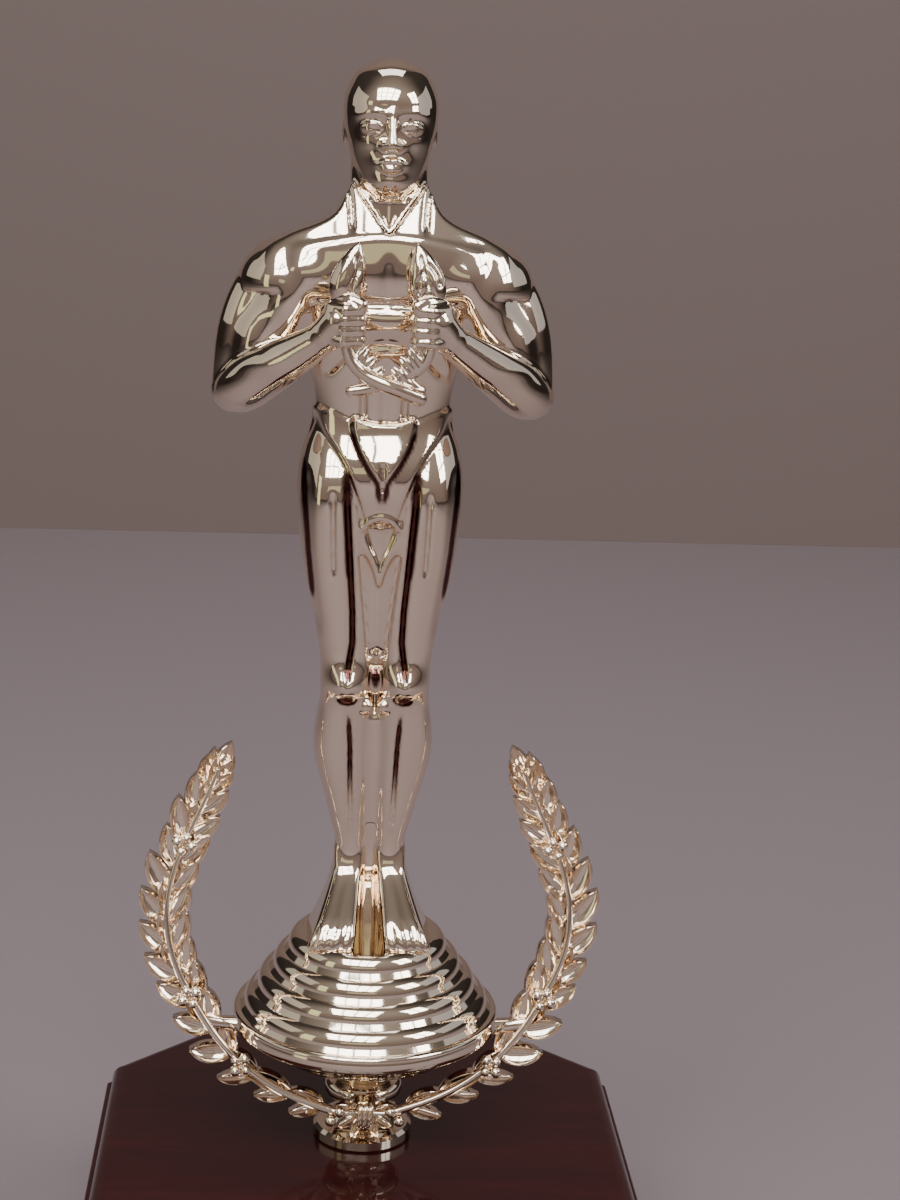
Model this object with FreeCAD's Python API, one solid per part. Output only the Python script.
"""Figure trophy: a plated figure on a stepped dome, with a laurel wreath, on a clipped-corner wood base.

Millimetres, +Z up, the front faces -Y. The origin is the centre of the base's underside.
Every separate piece is one STEP file in parts/, named after the piece.
"""

import FreeCAD, Part
import math
import os

V = FreeCAD.Vector

# ---------------------------------------------------------------- driving dimensions
HEAD_TOP = 290.0        # the whole height
BASE_WIDTH = 122.6      # across the body of the wood base, square in plan
BASE_CLIP = 27.0        # how far each corner is clipped, along each side
TOP_INSET = 1.4         # the moulded top tier stands this far inside the body
TOP_TIER = 5.0          # height of the moulded top tier
TOP_ROUND = 3.8         # roundover of the top tier
DECK = 50.0             # height of the wood base's top face, felt included
FELT = 1.5              # thickness of the felt sheet under the base

ROD_R = 3.0             # M6 tie rod
ROD_CORE_R = 2.55       # bottom of its thread
ROD_PITCH = 1.0
ROD_CLEAR = 0.3         # radial clearance of the holes the rod passes through
NUT_FLATS = 10.0
NUT_HEIGHT = 5.0
WALL = 2.0              # wall of the moulded shells

COLLAR_R = 11.2         # foot collar on the deck
COLLAR_TOP = DECK + 10.0
RING_TOP = COLLAR_TOP + 3.6
BAND_R = 30.0           # rim band between the cup and the dome
BAND_LOW = DECK + 27.6
CUP_R = 28.2            # the cup's rim, under the band
BAND_TOP = DECK + 31.9
DOME_TOP = DECK + 49.6  # the dome's platform, where the soles stand

PARTING_Y = 1.0         # plane where the figure's front and back shells meet
SCREW_X, SCREW_Y = 9.4, 2.0     # the two screws up into the feet
SCREW_SEAT = DOME_TOP - WALL    # their heads bear on the platform's underside
SCREW_CORE_R = 1.2
SCREW_TIP = DOME_TOP + 8.0

OUT = "parts"


# ---------------------------------------------------------------- helpers
def save(name, shape):
    """Writes one sub-part, after checking that it is made of valid closed solids."""
    solids = [s for s in shape.Solids if s.Volume > 1e-3]
    kept = solids[0] if len(solids) == 1 else Part.makeCompound(solids)
    kept.exportStep(os.path.join(OUT, name + ".step"))
    print(f"{name:18s} solids {len(solids)}  valid {kept.isValid()}  volume {kept.Volume:10.1f} mm3")


def revolve(points):
    """A solid turned about Z from (radius, height) points. A third value bulges the edge that ends there."""
    edges = []
    count = len(points)
    for i in range(count):
        r0, z0 = points[i][:2]
        r1, z1 = points[(i + 1) % count][:2]
        bulge = points[(i + 1) % count][2] if len(points[(i + 1) % count]) > 2 else 0.0
        a, b = V(r0, 0, z0), V(r1, 0, z1)
        if bulge:
            side = V(z1 - z0, 0, r0 - r1).normalize()
            edges.append(Part.Arc(a, (a + b) * 0.5 + side * bulge, b).toShape())
        else:
            edges.append(Part.LineSegment(a, b).toShape())
    face = Part.Face(Part.Wire(edges))
    return face.revolve(V(0, 0, 0), V(0, 0, 1), 360)


def cylinder(radius, low, high, x=0.0, y=0.0):
    return Part.makeCylinder(radius, high - low, V(x, y, low))


def clipped_square(width, clip, low, high):
    """A square prism with its four corners clipped at 45 degrees."""
    h = width / 2
    c = h - clip
    outline = [(c, -h), (h, -c), (h, c), (c, h), (-c, h), (-h, c), (-h, -c), (-c, -h)]
    wire = Part.makePolygon([V(x, y, low) for x, y in outline] + [V(c, -h, low)])
    return Part.Face(wire).extrude(V(0, 0, high - low))


def edges_at(shape, z, tolerance=1e-4):
    return [e for e in shape.Edges if all(abs(v.Z - z) < tolerance for v in e.Vertexes)]


def hexagon(flats, low, high):
    r = flats / math.sqrt(3)
    turns = [math.radians(60 * k + 30) for k in range(6)]
    corners = [V(r * math.cos(a), r * math.sin(a), low) for a in turns]
    return Part.Face(Part.makePolygon(corners + corners[:1])).extrude(V(0, 0, high - low))


def smooth_ring(points):
    """A closed smooth wire through the points."""
    curve = Part.BSplineCurve()
    curve.interpolate(points, PeriodicFlag=True)
    return Part.Wire(curve.toShape())


def oval(cx, cy, z, rx, front, back):
    """A smooth closed section at height z: half-width rx, reaching front towards -Y and back towards +Y."""
    points = []
    for k in range(12):
        a = 2 * math.pi * (k + 0.5) / 12
        c, s = math.cos(a), math.sin(a)
        x = rx * math.copysign(abs(c) ** (2 / FULLNESS), c)
        y = (back if s > 0 else front) * math.copysign(abs(s) ** (2 / FULLNESS), s)
        points.append(V(cx + x, cy + y, z))
    return smooth_ring(points)


def loft(sections, inset=0.0, mirror=1):
    """A lofted solid through oval sections (cx, cy, z, rx, front, back), thinned all round by inset."""
    wires = []
    for cx, cy, z, rx, front, back in sections:
        wires.append(oval(mirror * cx, cy, z, rx - inset, front - inset, back - inset))
    return Part.makeLoft(wires, True, True)


def limb(stations):
    """A lofted limb through round stations (x, y, z, radius), each square to the limb's direction."""
    centres = [V(*s[:3]) for s in stations]
    wires = []
    for i, (x, y, z, radius) in enumerate(stations):
        before = centres[max(i - 1, 0)]
        after = centres[min(i + 1, len(centres) - 1)]
        along = (after - before).normalize()
        across = along.cross(V(0, 1, 0.2)).normalize() * radius
        upward = across.cross(along)
        turns = [2 * math.pi * k / 8 for k in range(8)]
        wires.append(smooth_ring([centres[i] + across * math.cos(a) + upward * math.sin(a) for a in turns]))
    return Part.makeLoft(wires, True, True)


def ball(x, y, z, radius):
    return Part.makeSphere(radius, V(x, y, z))


# ---------------------------------------------------------------- wood base, felt and plate
def wood_base():
    body_top = DECK - TOP_TIER
    body = clipped_square(BASE_WIDTH, BASE_CLIP, FELT, body_top)
    body = body.makeFillet(0.7, edges_at(body, body_top))
    body = body.makeChamfer(0.8, edges_at(body, FELT))
    tier = clipped_square(BASE_WIDTH - 2 * TOP_INSET, BASE_CLIP - TOP_INSET, body_top - 1.0, DECK)
    tier = tier.makeFillet(TOP_ROUND, edges_at(tier, DECK))
    block = body.fuse(tier).removeSplitter()
    pocket = cylinder(NUT_POCKET_R, FELT - 1, WASHER_TOP)
    hole = cylinder(ROD_R + ROD_CLEAR, 0, DECK + 1)
    recess = plate_blank(PLATE_WIDTH + 2 * PLATE_GAP, PLATE_HEIGHT + 2 * PLATE_GAP, -BASE_WIDTH / 2 + RECESS,
                         RECESS + 1.0, PLATE_CORNER + PLATE_GAP)
    return block.cut(pocket).cut(hole).cut(recess)


def felt_pad():
    return clipped_square(BASE_WIDTH - 4.0, BASE_CLIP - 1.2, 0.0, FELT)


PLATE_WIDTH, PLATE_HEIGHT, PLATE_THICK, TAPE_THICK = 62.0, 22.0, 0.8, 0.3
PLATE_CORNER = 2.5
PLATE_MIDDLE = 23.0                     # height of the plate's centre
PLATE_GAP = 0.2                         # room round the plate in its recess
RECESS = PLATE_THICK + TAPE_THICK       # the plate lies flush in a shallow recess


def plate_blank(width, height, back_y, thick, corner):
    """A round-cornered upright sheet whose back lies at back_y."""
    sheet = Part.makeBox(width, thick, height, V(-width / 2, back_y - thick, PLATE_MIDDLE - height / 2))
    upright = [e for e in sheet.Edges if abs(e.Vertexes[0].Y - e.Vertexes[1].Y) > thick / 2]
    return sheet.makeFillet(corner, upright)


def name_plate():
    back_y = -BASE_WIDTH / 2 + PLATE_THICK
    plate = plate_blank(PLATE_WIDTH, PLATE_HEIGHT, back_y, PLATE_THICK, PLATE_CORNER)
    face_edges = [e for e in plate.Edges if all(abs(v.Y - (back_y - PLATE_THICK)) < 1e-4 for v in e.Vertexes)]
    return plate.makeChamfer(0.35, face_edges)


def plate_tape():
    return plate_blank(PLATE_WIDTH - 4, PLATE_HEIGHT - 4, -BASE_WIDTH / 2 + RECESS, TAPE_THICK, 1.5)


# ---------------------------------------------------------------- tie rod and its hardware
NUT_POCKET_R = 14.0     # pocket under the base, for the lower nut and a socket wrench
WASHER_TOP = 17.5       # roof of that pocket
WASHER_R = 10.0
WASHER_THICK = 1.5
LOCK_THICK = 1.6
LOWER_NUT_TOP = WASHER_TOP - WASHER_THICK - LOCK_THICK
ROD_LOW = 6.0
ROD_TOP = DECK + 40.0
UPPER_NUT_LOW = DECK + 32.6
THREAD_LENGTH = 16.0


def tie_rod():
    """The rod's two ends carry thread, drawn as rings at its pitch, and its middle is plain."""
    profile = [(0, ROD_LOW), (ROD_CORE_R, ROD_LOW)]
    z = ROD_LOW
    for start in (ROD_LOW, ROD_TOP - THREAD_LENGTH):
        if start > ROD_LOW:
            profile += [(ROD_R, z + ROD_PITCH / 2), (ROD_R, start - ROD_PITCH / 2), (ROD_CORE_R, start)]
        for k in range(int(THREAD_LENGTH / ROD_PITCH)):
            z = start + (k + 1) * ROD_PITCH
            profile += [(ROD_R, z - ROD_PITCH / 2), (ROD_CORE_R, z)]
    return revolve(profile + [(0, ROD_TOP)])


def nut(low):
    """A hex nut with both faces' corners turned off, clear of the rod's crests."""
    block = hexagon(NUT_FLATS, low, low + NUT_HEIGHT)
    corner = NUT_FLATS / math.sqrt(3)
    turned = revolve([(0, low), (corner - 0.7, low), (corner + 0.1, low + 0.6),
                      (corner + 0.1, low + NUT_HEIGHT - 0.6), (corner - 0.7, low + NUT_HEIGHT),
                      (0, low + NUT_HEIGHT)])
    return block.common(turned).cut(cylinder(ROD_R + 0.05, low - 1, low + NUT_HEIGHT + 1))


def flat_washer():
    low = WASHER_TOP - WASHER_THICK
    ring = cylinder(WASHER_R, low, WASHER_TOP).cut(cylinder(ROD_R + 0.2, low - 1, WASHER_TOP + 1))
    return ring.makeChamfer(0.2, [e for e in edges_at(ring, low) if e.Length > 2 * math.pi * ROD_R + 10])


def lock_washer():
    ring = cylinder(5.4, LOWER_NUT_TOP, LOWER_NUT_TOP + LOCK_THICK)
    ring = ring.cut(cylinder(ROD_R + 0.1, LOWER_NUT_TOP - 1, WASHER_TOP))
    split = Part.makeBox(4.0, 0.5, 6.0, V(2.4, -0.25, LOWER_NUT_TOP - 2))
    split.rotate(V(0, 0, LOWER_NUT_TOP), V(1, 0, 0), 25)
    return ring.cut(split)


# ---------------------------------------------------------------- plated pillar
def foot_collar():
    bore = ROD_R + ROD_CLEAR
    return revolve([(bore, DECK), (COLLAR_R - 0.5, DECK), (COLLAR_R, DECK + 0.5), (COLLAR_R, DECK + 2.4),
                    (COLLAR_R - 0.8, DECK + 3.1), (COLLAR_R - 1.8, DECK + 3.3), (6.6, COLLAR_TOP - 1.2, -1.6),
                    (6.6, COLLAR_TOP), (bore, COLLAR_TOP)])


LUG_WIDTH, LUG_FRONT = 5.0, -13.5       # the lug that carries the knot


def wreath_ring():
    """The ring that the wreath hangs on, clamped on the rod, with a lug forward to the knot."""
    bore = ROD_R + ROD_CLEAR
    ring = revolve([(bore, COLLAR_TOP), (8.0, COLLAR_TOP), (8.0, RING_TOP, 0.9), (bore, RING_TOP)])
    lug_height = RING_TOP - COLLAR_TOP - 0.8
    lug = Part.makeBox(LUG_WIDTH, 8.0, lug_height, V(-LUG_WIDTH / 2, LUG_FRONT, COLLAR_TOP + 0.4))
    return ring.fuse(lug.cut(cylinder(6.0, COLLAR_TOP - 1, RING_TOP + 1))).removeSplitter()


def cup_bowl():
    bore = ROD_R + ROD_CLEAR
    z = RING_TOP
    return revolve([(bore, z), (6.0, z), (6.4, z + 1.2), (13.5, z + 6.4, -1.4), (24.0, BAND_LOW - 3.0, 0.9),
                    (CUP_R, BAND_LOW), (24.6, BAND_LOW), (22.9, BAND_LOW - 1.6), (12.6, z + 8.6, -0.9),
                    (6.6, z + 4.6, 1.2), (6.6, BAND_LOW - 1.0), (bore, BAND_LOW - 1.0)])


def rim_band():
    low, top = BAND_LOW, BAND_TOP
    return revolve([(24.8, low), (BAND_R - 1.4, low), (BAND_R - 0.2, low + 0.8, 0.2),
                    (BAND_R - 0.2, top - 1.2, 0.2), (BAND_R - 1.2, top, 0.35), (26.0, top), (26.0, low + 1.6),
                    (24.8, low + 1.6)])


# Foot radius of each step, and its height above the deck.
STEPS = [(28.4, 31.9), (25.4, 36.3), (22.0, 40.8), (18.7, 45.2)]
BOSS_R = 7.4            # the dome's middle boss, with the upper nut moulded into it
STEP_DRAFT = 0.9        # each step's wall leans in by this
NOSE = 2.0              # rounding of each step's upper edge: how far it goes inward
NOSE_RISE = 3.4         # and how far down the wall it starts


def dome_steps(inset):
    """The steps' outline from the skirt to the platform, moved inward by inset."""
    points = []
    for i, (radius, height) in enumerate(STEPS):
        top = DECK + STEPS[i + 1][1] if i + 1 < len(STEPS) else DOME_TOP + 0.1
        foot_z = DECK + height
        if i > 0:
            foot_z -= inset
        points.append((radius - inset, foot_z))
        points.append((radius - STEP_DRAFT - inset, top - NOSE_RISE - inset))
        points.append((radius - STEP_DRAFT - NOSE - inset, top - 0.1 - inset))
    return points


def rounded(points):
    """Gives every third point, which ends a step's upper edge, a rounded edge in front of it."""
    return [p + (0.55,) if i % 3 == 2 else p for i, p in enumerate(points)]


def stepped_dome():
    outline = rounded(dome_steps(0.0)) + [(0.0, DOME_TOP), (0.0, DOME_TOP - WALL)]
    outline += list(reversed(dome_steps(WALL)[1:])) + [(STEPS[0][0] - WALL, BAND_TOP)]
    shell = revolve(outline)
    shell = shell.fuse(cylinder(BOSS_R, BAND_LOW - 1.0, DOME_TOP - 1.0))
    shell = shell.cut(hexagon(NUT_FLATS + 0.1, UPPER_NUT_LOW, UPPER_NUT_LOW + NUT_HEIGHT))
    shell = shell.cut(cylinder(ROD_R + ROD_CLEAR, BAND_LOW - 2, ROD_TOP + 1.0))
    for side in (-1, 1):
        shell = shell.cut(cylinder(1.5, SCREW_SEAT - 1, DOME_TOP + 1, side * SCREW_X, SCREW_Y))
        shell = shell.cut(cylinder(3.1, BAND_LOW - 2, SCREW_SEAT, side * SCREW_X, SCREW_Y))
    return shell


# ---------------------------------------------------------------- laurel wreath round the pillar
WREATH_KNOT_Y = -14.0   # the wreath's plane at its foot, in front of the pillar
WREATH_FOOT, WREATH_HEAD = 10.0, 92.0   # heights between which the plane leans back to the pillar's axis
WREATH_PATH = [  # x, height above the deck
    (7.0, 12.2), (18.0, 16.0), (32.0, 27.6), (42.5, 43.0), (44.9, 58.0), (41.0, 71.6), (33.0, 90.0)]
WREATH_LEAN = -WREATH_KNOT_Y / (WREATH_HEAD - WREATH_FOOT)
STEM_R = 1.15
LEAF_STATIONS = [  # distance along the branch (share), outer leaf length, inner leaf length
    (0.07, 8.0, 7.0), (0.155, 9.0, 7.5), (0.24, 8.5, 8.0), (0.33, 10.0, 9.5), (0.415, 9.5, 11.5),
    (0.50, 10.0, 9.0), (0.585, 10.5, 10.5), (0.67, 10.5, 10.0), (0.755, 10.0, 10.5), (0.84, 10.0, 9.0),
    (0.915, 8.0, 7.5)]
END_LEAF = 7.5
BERRY_SHARES = (0.27, 0.46, 0.80)
BERRY_R = 1.25
LEAF_WIDTH = 0.46       # of a leaf's length
LEAF_SPREAD = 38.0      # degrees between a leaf and the branch
LEAF_THICK = 1.5


def wreath_point(x, height):
    """A point in the wreath's leaning plane, at a height above the deck."""
    return V(x, WREATH_KNOT_Y + WREATH_LEAN * (height - WREATH_FOOT), DECK + height)


def branch_curve():
    curve = Part.BSplineCurve()
    curve.interpolate([wreath_point(x, h) for x, h in WREATH_PATH])
    return curve


def leaf(root, along, width_way, length):
    """A pointed flat leaf: two arcs, with the wreath's own thickness."""
    half = length * LEAF_WIDTH / 2
    normal = along.cross(width_way).normalize()
    start = root - normal * (LEAF_THICK / 2)
    middle, tip = start + along * (length * 0.5), start + along * length
    edges = [Part.Arc(start, middle + width_way * half, tip).toShape(),
             Part.Arc(tip, middle - width_way * half, start).toShape()]
    return Part.Face(Part.Wire(edges)).extrude(normal * LEAF_THICK)


def laurel_branch():
    """The right branch: stem, paired leaves, an end leaf, berry clusters and the web that meets the band."""
    curve = branch_curve()
    first, last = curve.FirstParameter, curve.LastParameter
    stem_start = curve.value(first)
    spine = Part.Wire(curve.toShape())
    section = Part.Wire(Part.makeCircle(STEM_R, stem_start, V(*curve.tangent(first)[0])))
    pieces = [spine.makePipeShell([section], True, True)]
    plane_normal = V(0, -1, 0) + V(0, 0, WREATH_LEAN)
    plane_normal.normalize()
    for share, outer_length, inner_length in LEAF_STATIONS:
        at = first + (last - first) * share
        root, ahead = curve.value(at), V(*curve.tangent(at)[0])
        for way, length in ((1, outer_length), (-1, inner_length)):
            turn = FreeCAD.Rotation(plane_normal, way * LEAF_SPREAD)
            along = turn.multVec(ahead)
            pieces.append(leaf(root, along, along.cross(plane_normal).normalize(), length))
    tip, ahead = curve.value(last), V(*curve.tangent(last)[0])
    pieces.append(leaf(tip - ahead * 1.5, ahead, ahead.cross(plane_normal).normalize(), END_LEAF))
    for share in BERRY_SHARES:
        at = first + (last - first) * share
        centre, ahead = curve.value(at), V(*curve.tangent(at)[0])
        across = ahead.cross(plane_normal).normalize()
        for shift in (-1.9, 0.0, 1.9):
            pieces.append(Part.makeSphere(BERRY_R, centre + across * shift + plane_normal * 0.9))
    web = Part.makeBox(6.5, 2.4, 4.0, V(BAND_R - 3.2, -12.4, BAND_LOW + 0.2))
    pieces.append(web)
    branch = pieces[0]
    for piece in pieces[1:]:
        branch = branch.fuse(piece)
    branch = branch.cut(cylinder(BAND_R + 0.02, BAND_LOW - 0.05, BAND_TOP + 0.3))
    return branch.cut(cylinder(CUP_R + 1.0, BAND_LOW - 6.0, BAND_LOW))


def mirrored(shape):
    return shape.mirror(V(0, 0, 0), V(1, 0, 0))


KNOT_HEIGHT = 12.0      # above the deck
BEAD_R = 1.35


def wreath_knot():
    """The knot that ties the two branches: a wound band, two tails and a bead each side."""
    centre = wreath_point(0, KNOT_HEIGHT)
    band = limb([(-7.6, centre.y, centre.z, 1.3), (-3.0, centre.y - 0.3, centre.z - 0.6, 1.6),
                 (3.0, centre.y - 0.3, centre.z - 0.6, 1.6), (7.6, centre.y, centre.z, 1.3)])
    pieces = [ball(0, centre.y - 1.0, centre.z - 0.6, 2.3)]
    for side in (-1, 1):
        pieces.append(limb([(side * 1.0, centre.y - 0.8, centre.z - 1.2, 1.0),
                            (side * 3.4, centre.y - 0.9, centre.z - 3.6, 1.1),
                            (side * 5.0, centre.y - 0.6, centre.z - 5.4, 0.8)]))
        pieces.append(ball(side * 5.2, centre.y - 1.3, centre.z + 0.4, BEAD_R))
        pieces.append(ball(side * 8.4, centre.y - 0.8, centre.z - 1.6, BEAD_R))
    knot = band.multiFuse(pieces)
    lug_slot = Part.makeBox(LUG_WIDTH + 0.2, 8.0, 20, V(-LUG_WIDTH / 2 - 0.1, LUG_FRONT, COLLAR_TOP - 8))
    return knot.cut(lug_slot)


# ---------------------------------------------------------------- figure
# Sections are (centre x, centre y, height above the soles, half-width, reach to the front, to the back).
FULLNESS = 2.25         # 2 is an ellipse, more is squarer
HEAD = [(0, 1.0, 190.2, 3.0, 3.4, 3.6), (0, 1.2, 189.0, 5.6, 6.4, 7.0), (0, 1.2, 186.6, 7.9, 9.0, 9.8),
        (0, 1.2, 182.5, 9.5, 10.8, 11.8), (0, 1.2, 177.5, 9.8, 11.4, 12.2), (0, 1.0, 172.0, 9.3, 11.2, 11.2),
        (0, 0.4, 168.0, 8.2, 10.8, 8.6), (0, 0.0, 165.0, 6.0, 10.2, 6.0), (0, 0.0, 163.6, 3.4, 8.4, 4.0)]
NECK = [(0, 2.6, 175.0, 6.4, 6.4, 7.0), (0, 2.4, 168.0, 7.2, 6.4, 7.6), (0, 2.2, 161.5, 8.4, 6.4, 8.2),
        (0, 2.0, 157.5, 12.4, 7.4, 9.0), (0, 2.0, 152.5, 17.0, 8.4, 9.6)]
TORSO = [(0, 2.0, 157.0, 13.0, 6.8, 8.6), (0, 2.0, 153.5, 20.0, 8.8, 9.8), (0, 2.0, 148.0, 23.0, 11.2, 11.2),
         (0, 2.0, 141.0, 22.2, 13.4, 11.8), (0, 2.0, 134.5, 19.6, 13.2, 11.4),
         (0, 2.0, 127.0, 16.9, 11.0, 10.2), (0, 2.0, 120.5, 15.1, 10.0, 9.2),
         (0, 2.0, 116.0, 15.2, 9.8, 9.6), (0, 2.0, 110.0, 16.6, 10.0, 11.4),
         (0, 2.0, 102.0, 17.6, 10.0, 13.0), (0, 2.0, 95.0, 17.2, 9.0, 12.0), (0, 2.2, 90.0, 14.5, 7.0, 9.0)]
LEG = [(8.0, 2.4, 107.0, 6.0, 7.0, 9.0), (8.6, 2.4, 99.0, 8.3, 9.6, 11.8), (8.7, 2.2, 92.0, 8.4, 10.2, 11.6),
       (8.3, 2.0, 83.0, 8.1, 10.2, 10.2),
       (7.3, 2.0, 72.0, 6.7, 9.0, 8.8), (6.4, 2.2, 62.0, 5.7, 7.6, 7.4), (6.1, 2.2, 55.5, 5.7, 7.6, 6.4),
       (6.4, 2.8, 49.5, 6.0, 6.8, 6.6), (6.8, 3.6, 42.0, 6.3, 6.6, 7.8), (6.1, 4.0, 30.5, 4.7, 5.4, 6.4),
       (5.2, 4.6, 19.0, 3.3, 4.2, 5.0), (5.6, 4.8, 13.5, 3.5, 4.4, 4.8)]
FOOT = [(7.8, 0.0, 0.0, 4.9, 13.0, 11.4), (7.8, 0.0, 2.4, 5.2, 13.2, 11.6), (7.2, 0.8, 6.0, 4.4, 10.4, 10.4),
        (6.2, 2.6, 10.0, 3.7, 7.8, 7.8), (5.5, 4.4, 15.0, 3.2, 4.8, 5.2)]
LEG_WEB = [(0, 3.0, 10.0, 3.4, 3.4, 4.6), (0, 2.0, 55.0, 2.6, 3.0, 5.4), (0, 2.0, 95.0, 3.2, 4.0, 7.0)]
SKULL_CAP = (0, 1.0, HEAD_TOP - DOME_TOP, 1.2, 1.3, 1.4)


def raised(sections):
    return [(cx, cy, z + DOME_TOP, rx, front, back) for cx, cy, z, rx, front, back in sections]


def arm(side):
    """Shoulder, upper arm, bent elbow, forearm and fist. The fist holds the small wreath before the chest."""
    z = DOME_TOP
    shoulder = limb([(side * 13.0, 1.2, z + 146.5, 5.5), (side * 17.5, 1.2, z + 146.2, 8.4),
                     (side * 22.6, 1.0, z + 143.6, 9.0), (side * 25.8, 0.6, z + 138.0, 8.0),
                     (side * 28.4, 0.2, z + 130.0, 6.6), (side * 30.2, 0.0, z + 122.5, 5.6),
                     (side * 31.0, -0.8, z + 119.0, 4.6)])
    forearm = limb([(side * 32.0, 1.2, z + 120.4, 4.2), (side * 28.4, -3.6, z + 124.0, 5.8),
                    (side * 21.5, -11.0, z + 129.5, 5.4), (side * 14.0, -17.6, z + 135.0, 3.8),
                    (side * 10.6, -19.6, z + 137.2, 3.4)])
    fist = limb([(side * 13.2, -18.6, z + 135.0, 3.6), (side * 10.2, -20.0, z + 137.6, 5.0),
                 (side * 7.4, -20.6, z + 139.6, 4.6), (side * 5.2, -20.6, z + 140.6, 3.0)])
    return [shoulder, forearm, ball(side * 31.6, 0.0, z + 119.8, 4.6), fist]


def figure_pieces():
    pieces = [loft(raised([SKULL_CAP] + HEAD)), loft(raised(NECK)), loft(raised(TORSO))]
    for side in (-1, 1):
        pieces += [loft(raised(LEG), 0, side), loft(raised(FOOT), 0, side)]
        pieces += arm(side)
    pieces.append(loft(raised(LEG_WEB)))
    return pieces


def figure_cavity():
    """The hollow of the two shells: head, trunk and the upper legs. Arms and feet are moulded solid."""
    cavity = loft(raised(HEAD[1:8]), WALL)
    for piece in [loft(raised(NECK), WALL), loft(raised(TORSO[1:-1]), WALL)]:
        cavity = cavity.fuse(piece)
    for side in (-1, 1):
        cavity = cavity.fuse(loft(raised(LEG[:10]), WALL, side))
    return cavity


PIN_R = 0.9
POST_R = 2.4            # the posts that hold the pins, across the hollow
PINS = [(0.0, 177.0), (0.0, 143.0), (0.0, 108.0), (-7.4, 74.0), (7.4, 74.0)]   # x, height above the soles
PIN_HALF = 3.0


def pin(x, height, radius, half):
    return Part.makeCylinder(radius, 2 * half, V(x, PARTING_Y - half, DOME_TOP + height), V(0, 1, 0))


def figure_shells():
    """The figure, hollowed, with posts for the locating pins, parted into a front and a back shell."""
    pieces = figure_pieces()
    body = pieces[0]
    for piece in pieces[1:]:
        body = body.fuse(piece)
    hollow = figure_cavity()
    posts = [pin(x, h, POST_R, 14.0) for x, h in PINS]
    hollow = hollow.cut(posts[0].multiFuse(posts[1:]))
    body = body.cut(hollow)
    for x, h in PINS:
        body = body.cut(pin(x, h, PIN_R + 0.03, PIN_HALF + 0.3))
    for side in (-1, 1):
        body = body.cut(cylinder(SCREW_CORE_R, DOME_TOP - 1, SCREW_TIP + 0.4, side * SCREW_X, SCREW_Y))
    width, depth, height = 90.0, 60.0, HEAD_TOP - DOME_TOP + 10.0   # of a block round half the figure
    front_half = Part.makeBox(width, depth, height, V(-width / 2, PARTING_Y - depth, DOME_TOP - 5))
    back_half = Part.makeBox(width, depth, height, V(-width / 2, PARTING_Y, DOME_TOP - 5))
    return body.common(front_half), body.common(back_half)


def locating_pins():
    return Part.makeCompound([pin(x, h, PIN_R, PIN_HALF) for x, h in PINS])


def figure_screws():
    """Two pan-head self-tapping screws, up through the dome into the soles."""
    shank_r = SCREW_CORE_R - 0.05
    profile = [(0, SCREW_SEAT - 2.0), (2.2, SCREW_SEAT - 2.0), (2.8, SCREW_SEAT - 1.2), (2.8, SCREW_SEAT),
               (shank_r, SCREW_SEAT), (shank_r, SCREW_TIP - 1.6), (0, SCREW_TIP)]
    screws = []
    for side in (-1, 1):
        screw = revolve(profile)
        for turn in (0, 90):
            slot = Part.makeBox(3.2, 0.7, 1.2, V(-1.6, -0.35, SCREW_SEAT - 2.1))
            slot.rotate(V(0, 0, 0), V(0, 0, 1), turn)
            screw = screw.cut(slot)
        screw.translate(V(side * SCREW_X, SCREW_Y, 0))
        screws.append(screw)
    return Part.makeCompound(screws)


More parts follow.
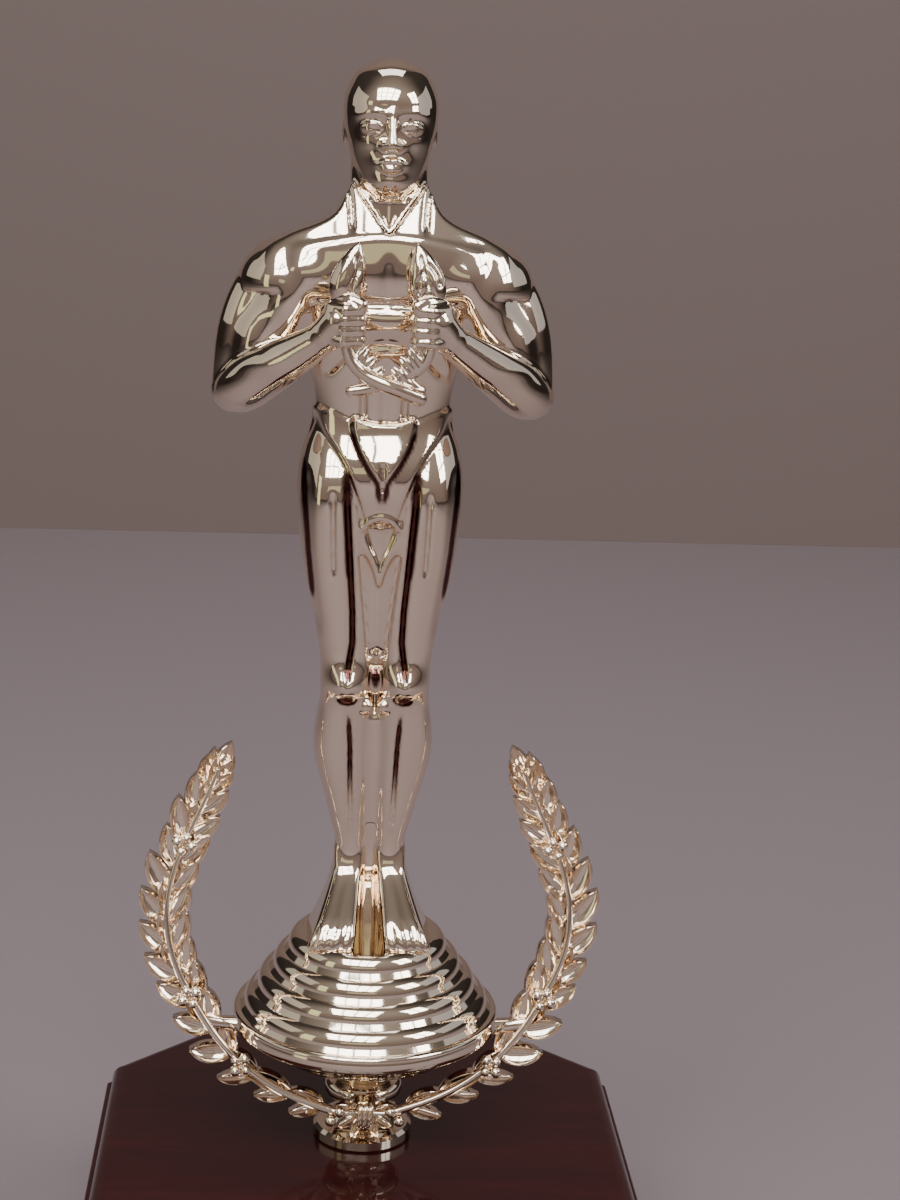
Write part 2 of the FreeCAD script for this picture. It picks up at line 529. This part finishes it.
# ---------------------------------------------------------------- small wreath in the figure's hands
SPRIG_Y = -21.6         # the plane of the sprigs, in front of the chest
GRIP_CLEAR = 0.15
SPRIG_PATH = [  # x, further to the back, height above the soles, radius
    (7.6, 0.6, 147.0, 0.9), (8.4, 0.0, 142.0, 1.1), (8.2, 0.0, 134.0, 1.2), (4.6, -0.6, 128.0, 1.3),
    (-1.0, -0.9, 124.8, 1.3), (-7.6, -0.6, 123.4, 1.2)]


def hand_wreath():
    """Two sprigs, one rising from each fist with a leaf at its head, crossed and splayed below the hands."""
    pieces = []
    for side in (-1, 1):
        cross = [1, 1, 1, side, side, side]
        path = [(side * x, SPRIG_Y + way * back, DOME_TOP + z, radius)
                for (x, back, z, radius), way in zip(SPRIG_PATH, cross)]
        bud_root = V(side * 8.8, SPRIG_Y + 0.6, DOME_TOP + 144.6)
        bud = leaf(bud_root, V(-side * 0.22, 0, 1).normalize(), V(1, 0, side * 0.22).normalize(), 9.5)
        low_root = V(side * 6.6, SPRIG_Y, DOME_TOP + 131.0)
        low_leaf = leaf(low_root, V(-side * 0.55, 0, -1).normalize(), V(1, 0, -side * 0.55).normalize(), 7.0)
        pieces += [limb(path), bud, low_leaf]
    return pieces[0].multiFuse(pieces[1:])


def grip_hole(side):
    """The hole through a fist that a sprig passes through, with a little clearance."""
    stations = [(side * x, SPRIG_Y + back, DOME_TOP + z, radius + GRIP_CLEAR)
                for x, back, z, radius in SPRIG_PATH[:4]]
    return limb(stations)


def main():
    os.makedirs(OUT, exist_ok=True)
    save("wood_base", wood_base())
    save("felt_pad", felt_pad())
    save("name_plate", name_plate())
    save("plate_tape", plate_tape())
    save("tie_rod", tie_rod())
    save("lower_nut", nut(LOWER_NUT_TOP - NUT_HEIGHT))
    save("upper_nut", nut(UPPER_NUT_LOW))
    save("flat_washer", flat_washer())
    save("lock_washer", lock_washer())
    save("foot_collar", foot_collar())
    save("wreath_ring", wreath_ring())
    save("cup_bowl", cup_bowl())
    save("rim_band", rim_band())
    save("stepped_dome", stepped_dome())
    branch = laurel_branch()
    save("laurel_left", mirrored(branch))
    save("laurel_right", branch)
    save("wreath_knot", wreath_knot().cut(branch).cut(mirrored(branch)))
    save("figure_screws", figure_screws())
    save("locating_pins", locating_pins())
    save("hand_wreath", hand_wreath())
    front, back = figure_shells()
    save("figure_front", front.cut(grip_hole(-1)).cut(grip_hole(1)))
    save("figure_back", back)


main()
